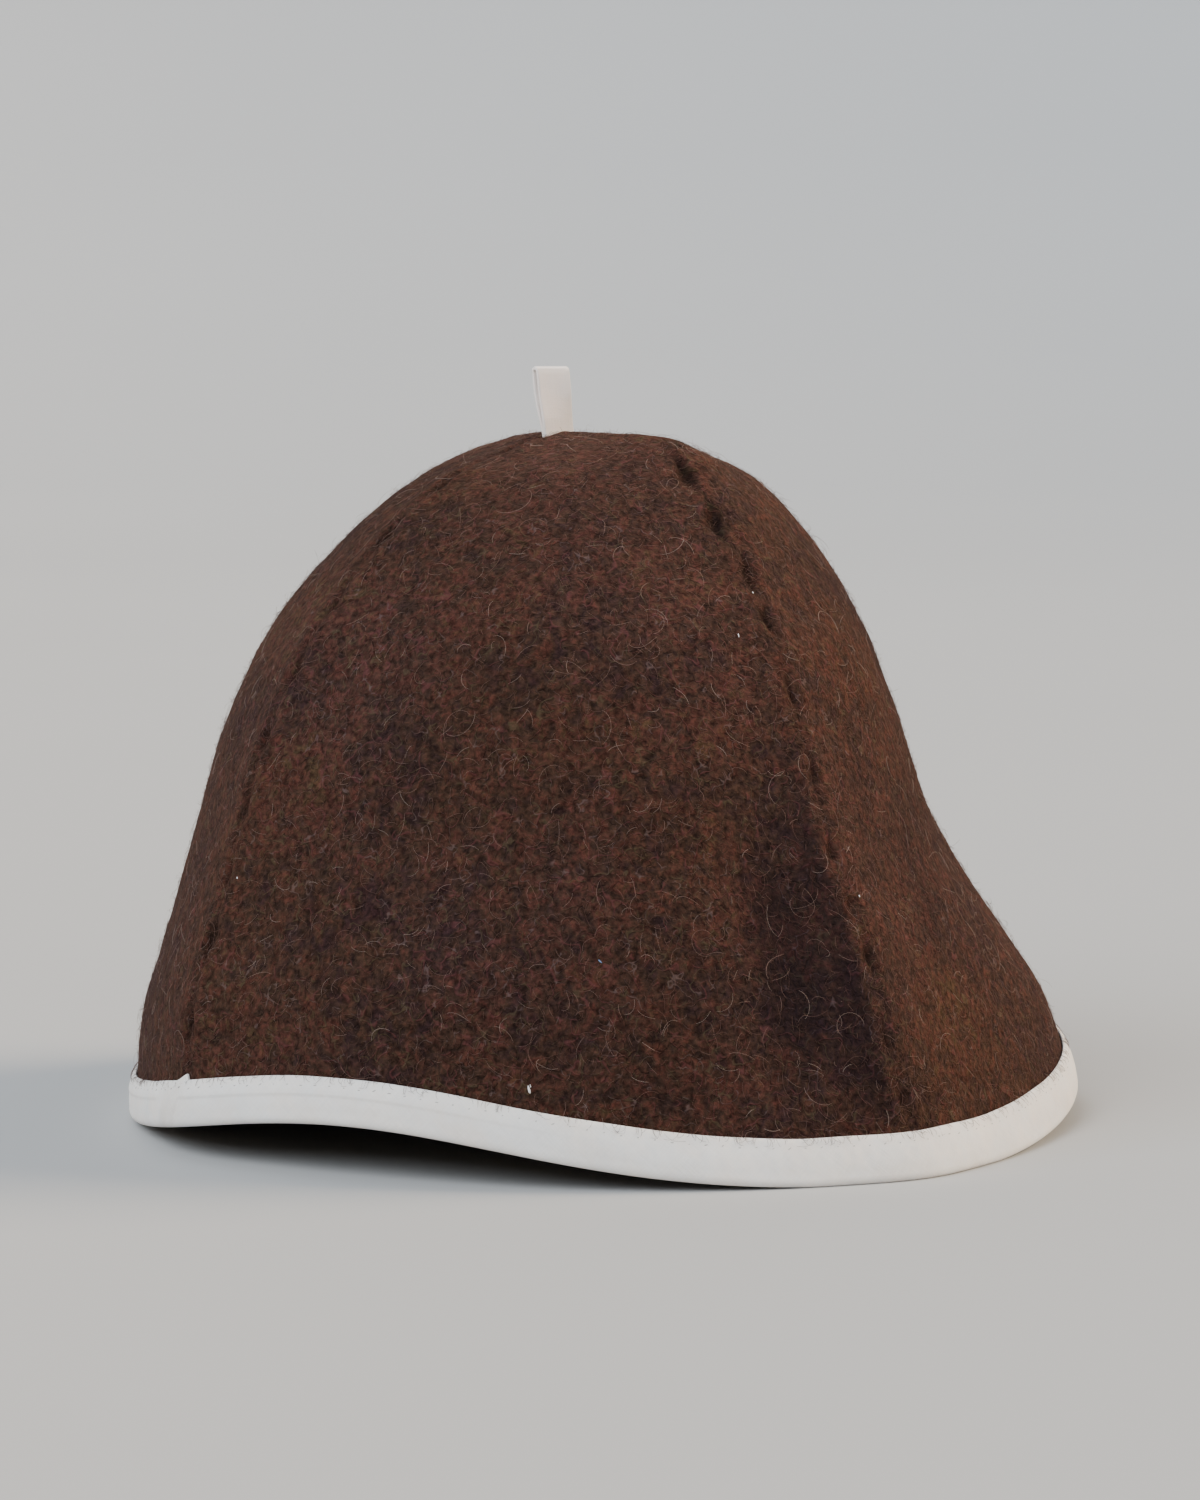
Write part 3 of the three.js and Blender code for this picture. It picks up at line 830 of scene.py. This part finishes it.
def fibre_face(seam, angles, climbs):
    """The felt's face and its direction under a fibre's points, and how far the felt lies out."""
    levels = level_at_climb(climbs)
    height, _, _, radius, _ = section(levels)
    own = np.floor(angles / QUARTER)
    relief = np.zeros(angles.shape)
    for k in (seam - 1, seam, seam + 1):
        there = own == k
        if there.any():
            where = (v[there] for v in (angles, climbs, radius, height))
            relief[there] = felt_relief(k, *where)[0]
    face = bell(levels, angles)
    fade = smoothstep(height, BINDING_HEIGHT, 1.8 * BINDING_HEIGHT)
    relief = relief + lumps(face, UNEVEN_OUTSIDE) * fade
    over_tape = np.interp(height, *TAPE_FACE.T) + OVER_TAPE
    over_tape = over_tape * (1 - smoothstep(height, BINDING_HEIGHT, BINDING_HEIGHT + 0.9 * MM))
    return face, outward(levels, angles), np.maximum(relief, over_tape)


def fibre_bundle(seam, draw, kind):
    """The paths, normals and radii of one kind of fibre on one gore, and each fibre's tint."""
    wanted, steps, short, long, tight, wide, lift, tilt, thick, dark, light, where = kind
    tries = wanted * 3
    lowest = BINDING_HEIGHT - FELT_EDGE
    climb = draw.uniform(lowest + 0.5 * MM, WALL_LENGTH - 1 * MM, tries)
    if where == "edge":
        climb = lowest + draw.uniform(0.2, 1.4, tries) * MM
    radius = section(level_at_climb(climb))[3]
    kept = draw.uniform(0, BELL[0, 3], tries) < radius
    climb, radius = climb[kept][:wanted], radius[kept][:wanted]
    count = len(climb)
    angle = (seam + draw.uniform(0, 1, count)) * QUARTER
    if where == "seam":
        angle = seam * QUARTER + draw.normal(0, 1.8 * MM, count) / radius

    # each fibre is a curl drawn on a plane of its own
    length = (short + (long - short) * draw.uniform(0, 1, count) ** 1.4) * MM
    curl = draw.choice((-1, 1), count) / ((tight + (wide - tight) * draw.uniform(0, 1, count)) * MM)
    unwind = draw.uniform(-0.5, 1.3, count)
    share = np.linspace(0, 1, steps)
    bent = curl[:, None] * length[:, None] * (share + unwind[:, None] * (share**2 - share))
    step = (length / (steps - 1))[:, None]
    start = np.zeros((count, 1))
    along = np.concatenate([start, np.cumsum(np.cos(bent[:, :-1]) * step, 1)], 1)
    aside = np.concatenate([start, np.cumsum(np.sin(bent[:, :-1]) * step, 1)], 1)
    aside = aside - aside.mean(axis=1, keepdims=True)
    lean = np.radians(draw.normal(0, tilt, count))[:, None]
    heading = draw.uniform(0, 2 * math.pi, (count, 1))
    if where == "edge":
        heading = draw.uniform(1.15, 1.85, (count, 1)) * math.pi
    shape = share**1.3 if where == "standing" else np.sin(math.pi * share) ** 0.8
    rise = lift * draw.uniform(0.35, 1.0, count)[:, None] * MM * shape + aside * np.sin(lean)
    aside = aside * np.cos(lean)
    short_of = 0.55 if where == "standing" else 1.0
    east = short_of * (along * np.cos(heading) - aside * np.sin(heading))
    north = short_of * (along * np.sin(heading) + aside * np.cos(heading))
    climbs = np.clip(climb[:, None] + north, lowest - 1.6 * MM, WALL_LENGTH)
    angles = angle[:, None] + east / np.maximum(radius[:, None], 6 * MM)
    face, normals, out = fibre_face(seam, angles, climbs)
    paths = face + normals * (out + rise - FIBRE_SUNK)[..., None]
    taper = np.array([0.45] + [1.0] * (steps - 2) + [0.35])
    radii = thick * MM * draw.uniform(0.75, 1.2, count)[:, None] * taper
    tint = dark + (light - dark) * draw.uniform(0, 1, count) ** 1.5
    return (paths, normals, radii), np.repeat(tint, steps * FIBRE_SIDES)


def fibres(seam, name, material):
    """The loose curly fibres on one gore."""
    draw = np.random.default_rng(FIBRE_SEED + seam)
    grown = [fibre_bundle(seam, draw, kind) for kind in FIBRE_KINDS]
    obj = tubes(name + "_fibres", [bundle for bundle, _ in grown], FIBRE_SIDES)
    set_point_value(obj.data, "fibre_tint", np.concatenate([tint for _, tint in grown]))
    return finished(obj, name + "_fibres", material, angle=None)


LINT_SEED = 8
LINT_STEPS = 6
LINT_SIDES = 6
# Stray lint on the felt: angle in degrees, climb, length, thickness in mm, blue or white
LINT = (
    (45.3, 16.0, 1.9, 0.32, 0),
    (45.5, 17.0, 0.8, 0.13, 0),
    (54.7, 53.3, 1.2, 0.17, 1),
    (2.2, 69.2, 0.7, 0.18, 0),
    (91.7, 70.1, 0.6, 0.16, 0),
    (88.5, 151.2, 0.6, 0.17, 0),
    (82.5, 138.5, 1.1, 0.14, 0),
)


def lint(material):
    """A few specks of white fluff and one of blue that cling to the felt."""
    draw = np.random.default_rng(LINT_SEED)
    share = np.linspace(-0.5, 0.5, LINT_STEPS)
    bundles = []
    for degrees, climb, length, thick, _ in LINT:
        heading = draw.uniform(1.3, 2.6)
        bend = draw.uniform(-0.35, 0.35) * (share**2 - 0.1)
        climbs = (climb + length * (share * math.sin(heading) + bend))[None, :] * MM
        radius = section(level_at_climb(climbs))[3]
        angles = math.radians(degrees) + length * MM * (share * math.cos(heading))[None, :] / radius
        seam = int(degrees // 90)
        face, normals, out = fibre_face(seam, angles, climbs)
        paths = face + normals * (out + 0.45 * thick * MM)[..., None]
        radii = thick * MM * np.array([[0.35, 0.8, 1.0, 0.9, 0.75, 0.3]])
        bundles.append((paths, normals, radii))
    obj = tubes("stray_lint", bundles, LINT_SIDES)
    tints = np.repeat([row[-1] for row in LINT], LINT_STEPS * LINT_SIDES)
    set_point_value(obj.data, "lint_tint", tints)
    return finished(obj, "stray_lint", material, angle=None)


# ---------------------------------------------------------------- binding


def corner(side, count, rise=FOLD_ROUNDNESS):
    """The rounded fold under the felt, from the flat that rests to one of the tape's faces."""
    middle = -FELT_THICKNESS / 2
    start = middle + math.copysign(REST_WIDTH / 2, side - middle)
    turns = np.linspace(0, QUARTER, count)
    return [
        (rise * (1 - math.cos(t)), start + (side - start) * math.sin(t)) for t in turns
    ]


def binding_section():
    """The tape's section as rows of height, out and face: 1 outside, -1 inside, 0 hidden."""
    inside = -(FELT_THICKNESS + CLEARANCE + TAPE)
    felt_edge = FELT_EDGE - CLEARANCE
    top, low_top = BINDING_HEIGHT, BINDING_HEIGHT - INSIDE_SHORTER
    roll_height, roll_out = TAPE_FACE[0]
    rows = [(h, o, 1) for h, o in corner(roll_out, 7, roll_height)]
    rows += [(h, o, 1) for h, o in TAPE_FACE[1:]]
    rows += [(top, CLEARANCE + 0.30 * MM, 0.5), (top - 0.25 * MM, CLEARANCE, 0)]
    rows += [(felt_edge, CLEARANCE, 0), (felt_edge, -FELT_THICKNESS - CLEARANCE, 0)]
    rows += [(low_top - 0.2 * MM, -FELT_THICKNESS - CLEARANCE, 0), (low_top, inside + 0.4 * MM, -1)]
    rows += [(low_top - 0.3 * MM, inside - 0.02 * MM, -1)]
    rows += [(h * MM, inside - o * MM, -1) for h, o in ((9.9, 0), (9.2, 0), (7.8, 0.2), (5.4, 0.25))]
    rows += [(h, o, -1) for h, o in corner(inside, 6)[::-1]]
    return np.array(rows + rows[:1])


STITCH_SEED = 77
STITCH_PITCH = 4.2 * MM
STITCH_BELOW = 2.2 * MM     # under the tape's upper edge
STITCH_PROFILE = np.array([0.07, 0.12, 0.14, 0.12, 0.07]) * MM   # a stitch's thickness along it
DIMPLE = 0.22 * MM


def rim_measure():
    """Angles closely spaced round the rim and how far round the tape each one lies."""
    angles = np.linspace(0, 2 * math.pi, 4001)
    level = np.full(angles.shape, float(level_at_height(BINDING_HEIGHT / 2)))
    ring = wall(level, angles, np.full(angles.shape, TAPE))
    run = np.concatenate([[0], np.cumsum(np.linalg.norm(np.diff(ring, axis=0), axis=1))])
    return angles, run


RIM_ANGLES, RIM_RUN = rim_measure()
RIM_LENGTH = RIM_RUN[-1]
STITCHES = int(round(RIM_LENGTH / STITCH_PITCH))


def drifting(values, size, seed):
    """A gentle random drift along the tape that closes on itself."""
    turn = 2 * math.pi * np.asarray(values) / RIM_LENGTH
    reach = RIM_LENGTH / (2 * math.pi * size)
    flat = np.stack([np.cos(turn) * reach, np.sin(turn) * reach, np.full(turn.shape, seed)], -1)
    return np.array([noise.noise(p) for p in flat.reshape(-1, 3).tolist()]).reshape(turn.shape)


def tape_points(run, height, out, face):
    """Places the tape's section at a distance round the rim, with its lap, dimples and puckers."""
    angle = np.interp(run % RIM_LENGTH, RIM_RUN, RIM_ANGLES)
    before = np.where(run > RIM_LENGTH / 2, RIM_LENGTH - run, -run)
    outer, inner = np.maximum(face, 0), np.maximum(-face, 0)
    # the lapped end: its edge runs aslant from the tip at the top towards the right
    edge = LAP_SLANT * np.clip(1 - height / BINDING_HEIGHT, 0, 1)
    past = before - edge
    lapped = smoothstep(past, -0.15 * MM, 0.75 * MM)
    lapped = lapped * (1 - smoothstep(past, LAP_LENGTH - 9 * MM, LAP_LENGTH))
    tip = LAP_TIP * np.clip(1 - before / TIP_REACH, 0, 1) ** 1.8 * (before > -0.2 * MM)
    plain = smoothstep(past, 0, 0.5 * MM) * (1 - smoothstep(past, 9 * MM, 20 * MM))
    plain = np.maximum(plain, 0.92 * smoothstep(np.minimum(run, RIM_LENGTH - run), *HEM_FADES))
    hem = smoothstep(height, 7.1 * MM, 7.8 * MM) * (1 - smoothstep(height, 9.2 * MM, 11.5 * MM))
    out = out + outer * HEM * hem * (1 - plain)
    out = out + outer * lapped * LAP_THICKNESS
    # stitches draw the tape in, and it puffs out between them
    phase = (run / RIM_LENGTH * STITCHES) % 1 - 0.5
    along = phase * STITCH_PITCH
    at_line = np.exp(-(((height - (BINDING_HEIGHT - STITCH_BELOW)) / (0.70 * MM)) ** 2))
    dimple = DIMPLE * np.exp(-((along / (0.60 * MM)) ** 2)) * at_line
    puff = 0.07 * MM * np.cos(2 * math.pi * phase) * np.exp(
        -(((height - 0.7 * BINDING_HEIGHT) / (4 * MM)) ** 2)
    )
    slack = 0.22 * MM * drifting(run, 34 * MM, 2.0) + 0.09 * MM * drifting(run, 9 * MM, 7.0)
    upright = smoothstep(height, 0.8 * MM, 4 * MM)
    out = out + outer * (slack * upright - dimple * (1 - lapped) + puff * upright)
    out = out + inner * (dimple - 0.4 * slack * upright)
    share = smoothstep(height, 0.55 * BINDING_HEIGHT, BINDING_HEIGHT)
    ragged = 0.28 * MM * drifting(run, 21 * MM, 11.0)
    raised = np.where(face >= 0, ragged + tip, 0.8 * ragged) * share
    level = level_at_height(height)
    points = wall(level, angle, out)
    points[..., 2] = height + raised + rim_lift(angle)
    return points


def rim_columns():
    """Distances round the rim, closer together about the lapped end."""
    close = np.arange(-26 * MM, 4 * MM, 0.45 * MM)
    rest = np.linspace(4 * MM, RIM_LENGTH - 26 * MM, RIM_COLUMNS - len(close))
    return np.concatenate([close, rest])


def rim_binding(material):
    """Bias tape folded over the felt's edge: a ring whose section is moved onto the tape's."""
    rows = binding_section()
    columns = rim_columns()
    deselect()
    steps = (len(columns) - 1, len(rows) - 1)
    bpy.ops.mesh.primitive_grid_add(x_subdivisions=steps[0], y_subdivisions=steps[1], size=1)
    obj = bpy.context.object
    flat = places(obj.data)
    place = np.rint((flat[:, :2] + 0.5) * steps).astype(int)
    around, across = place.T
    height, out, face = rows.T
    # near the lapped end the columns lean with its slanted edge
    slant = LAP_SLANT * np.clip(1 - height / BINDING_HEIGHT, 0, 1) * (face > 0)
    near = np.clip(1 - np.abs(columns + 2 * MM) / (16 * MM), 0, 1)
    lean = smoothstep(near, 0, 1)[:, None] * slant[None, :]
    run = (columns[:, None] - lean) % RIM_LENGTH
    shape = run.shape
    points = tape_points(run, *(np.broadcast_to(v, shape) for v in (height, out, face)))
    set_places(obj.data, points[around, across])
    girth = np.concatenate([[0], np.cumsum(np.hypot(np.diff(height), np.diff(out)))])
    lay_flat(obj, "tape_map", columns[around], girth[across])
    bpy.ops.object.mode_set(mode="EDIT")
    bpy.ops.mesh.select_all(action="SELECT")
    bpy.ops.mesh.remove_doubles(threshold=1e-6)
    bpy.ops.object.mode_set(mode="OBJECT")
    return finished(obj, "rim_binding_tape", material, "rim_binding", 50)


def lay_flat(obj, name, along, across):
    """A flat map of the tape in metres: how far along it, and how far across it, by point."""
    mesh = obj.data
    layer = mesh.uv_layers.active or mesh.uv_layers.new(name=name)
    layer.name = name
    corners = np.zeros(len(mesh.loops), np.int32)
    mesh.loops.foreach_get("vertex_index", corners)
    layer.data.foreach_set("uv", np.stack([along[corners], across[corners]], -1).ravel())


def binding_stitches(material):
    """The line of small machine stitches that holds the tape, outside and inside."""
    draw = np.random.default_rng(STITCH_SEED)
    share = np.linspace(-1, 1, len(STITCH_PROFILE))
    bundles = []
    for face in (1.0, -1.0):
        middles = (np.arange(STITCHES) + 0.5) / STITCHES * RIM_LENGTH
        half = draw.uniform(0.24, 0.52, STITCHES) * MM
        tilt = 0.25 * face + draw.uniform(-0.35, 0.35, STITCHES)
        run = (middles[:, None] + half[:, None] * share) % RIM_LENGTH
        line = BINDING_HEIGHT - STITCH_BELOW + draw.uniform(-0.2, 0.2, STITCHES) * MM
        height = line[:, None] + (half * tilt)[:, None] * share
        base = np.interp(height, *TAPE_FACE.T) if face > 0 else -(FELT_THICKNESS + CLEARANCE + TAPE)
        out = np.broadcast_to(base, run.shape)
        points = tape_points(run, height, out, np.full(run.shape, face))
        normal = outward(level_at_height(height), np.interp(run, RIM_RUN, RIM_ANGLES)) * face
        sit = (0.05 - 0.13 * share**2) * MM
        sizes = draw.uniform(0.8, 1.15, STITCHES)[:, None] * STITCH_PROFILE
        bundles.append((points + normal * sit[None, :, None], normal, sizes))
    obj = tubes("binding_stitches", bundles, 5)
    return finished(obj, "binding_stitches", material, angle=None)


# ---------------------------------------------------------------- hanging loop

LOOP_WIDTH = 9.5 * MM
LOOP_PLY = 1 * MM
LOOP_HEIGHT = 17.5 * MM
LOOP_GAP = 1.2 * MM
LOOP_TAIL = 9 * MM
LOOP_BACK = -14 * MM        # of the rim's middle
LOOP_LEAN = -0.15
LOOP_TWIST = math.radians(-12)


def loop_line(count):
    """The tape's middle line from tail to tail, as rows of across and height, evenly spaced."""
    pinch = LOOP_PLY / 2 + 0.1 * MM
    bulge = (LOOP_GAP + LOOP_PLY) / 2
    top = LOOP_HEIGHT - LOOP_PLY / 2
    half = [
        (pinch, -LOOP_TAIL), (pinch, 0), (0.8 * bulge, 0.25 * LOOP_HEIGHT),
        (bulge, 0.55 * LOOP_HEIGHT), (bulge, top - bulge), (0.7 * bulge, top - 0.3 * bulge), (0, top),
    ]
    rows = np.array(half + [(-x, z) for x, z in half[-2::-1]])
    fine = smooth_curve(rows, np.linspace(0, len(rows) - 1, 800))
    run = np.concatenate([[0], np.cumsum(np.linalg.norm(np.diff(fine, axis=0), axis=1))])
    even = np.linspace(0, run[-1], count)
    return np.stack([np.interp(even, run, fine[:, k]) for k in (0, 1)], -1), run[-1]


def hanging_loop(material):
    """One strip of tape folded in half, standing in the seam at the top of the crown."""
    length_steps, width_steps = 96, 14
    deselect()
    bpy.ops.mesh.primitive_grid_add(x_subdivisions=length_steps, y_subdivisions=width_steps, size=1)
    obj = bpy.context.object
    flat = places(obj.data)
    along, across = flat[:, 0] + 0.5, flat[:, 1]
    line, length = loop_line(length_steps + 1)
    even = np.linspace(0, 1, len(line))
    x, z = np.interp(along, even, line[:, 0]), np.interp(along, even, line[:, 1])
    ripple = 0.18 * MM * np.sin(5 * math.pi * along + 0.6)
    width = (LOOP_WIDTH - LOOP_PLY * 0.1) * across + ripple * np.abs(across) * 2
    free = smoothstep(z, 1 * MM, 13 * MM)
    twist = LOOP_TWIST * free
    cupped = 0.2 * MM * (4 * across**2 - 0.4) * free
    cupped = cupped * np.sign(x + 1e-9) * smoothstep(np.abs(x), 0, 2 * MM)
    x_turned = (x + cupped) * np.cos(twist) - width * np.sin(twist)
    y_turned = width * np.cos(twist) + (x + cupped) * np.sin(twist)
    y_turned = y_turned + LOOP_BACK + LOOP_LEAN * z
    set_places(obj.data, np.stack([x_turned, y_turned, z + CROWN_HEIGHT], -1))
    lay_flat(obj, "loop_map", along * length, across * LOOP_WIDTH)
    thick = obj.modifiers.new("ply", "SOLIDIFY")
    thick.thickness = 0.95 * LOOP_PLY
    thick.offset = 0
    thick.use_even_offset = True
    edge = obj.modifiers.new("soft_edge", "BEVEL")
    edge.width = 0.22 * MM
    edge.segments = 2
    edge.limit_method = "ANGLE"
    edge.angle_limit = math.radians(60)
    bpy.context.view_layer.objects.active = obj
    for modifier in ("ply", "soft_edge"):
        bpy.ops.object.modifier_apply(modifier=modifier)
    return finished(obj, "hanging_loop_tape", material, "hanging_loop", 50)


# ---------------------------------------------------------------- the hat

make_camera()
make_studio()

felt = felt_finish()
wool = fibre_finish()
for k, gore_name in enumerate(GORES):
    gore(k, gore_name, felt)
    fibres(k, gore_name, wool)

lint(lint_finish())
rim_binding(tape_finish("ivory_bias_tape", "tape_map", (0.93, 0.903, 0.868), (0.79, 0.762, 0.735),
                        0.34 * MM, math.radians(45), 0.12))
binding_stitches(thread_finish("grey_thread", (0.30, 0.28, 0.27), (0.52, 0.50, 0.48)))
hanging_loop(tape_finish("cream_loop_tape", "loop_map", (0.92, 0.835, 0.79), (0.86, 0.775, 0.735),
                         0.40 * MM, 0.0, 0.25))
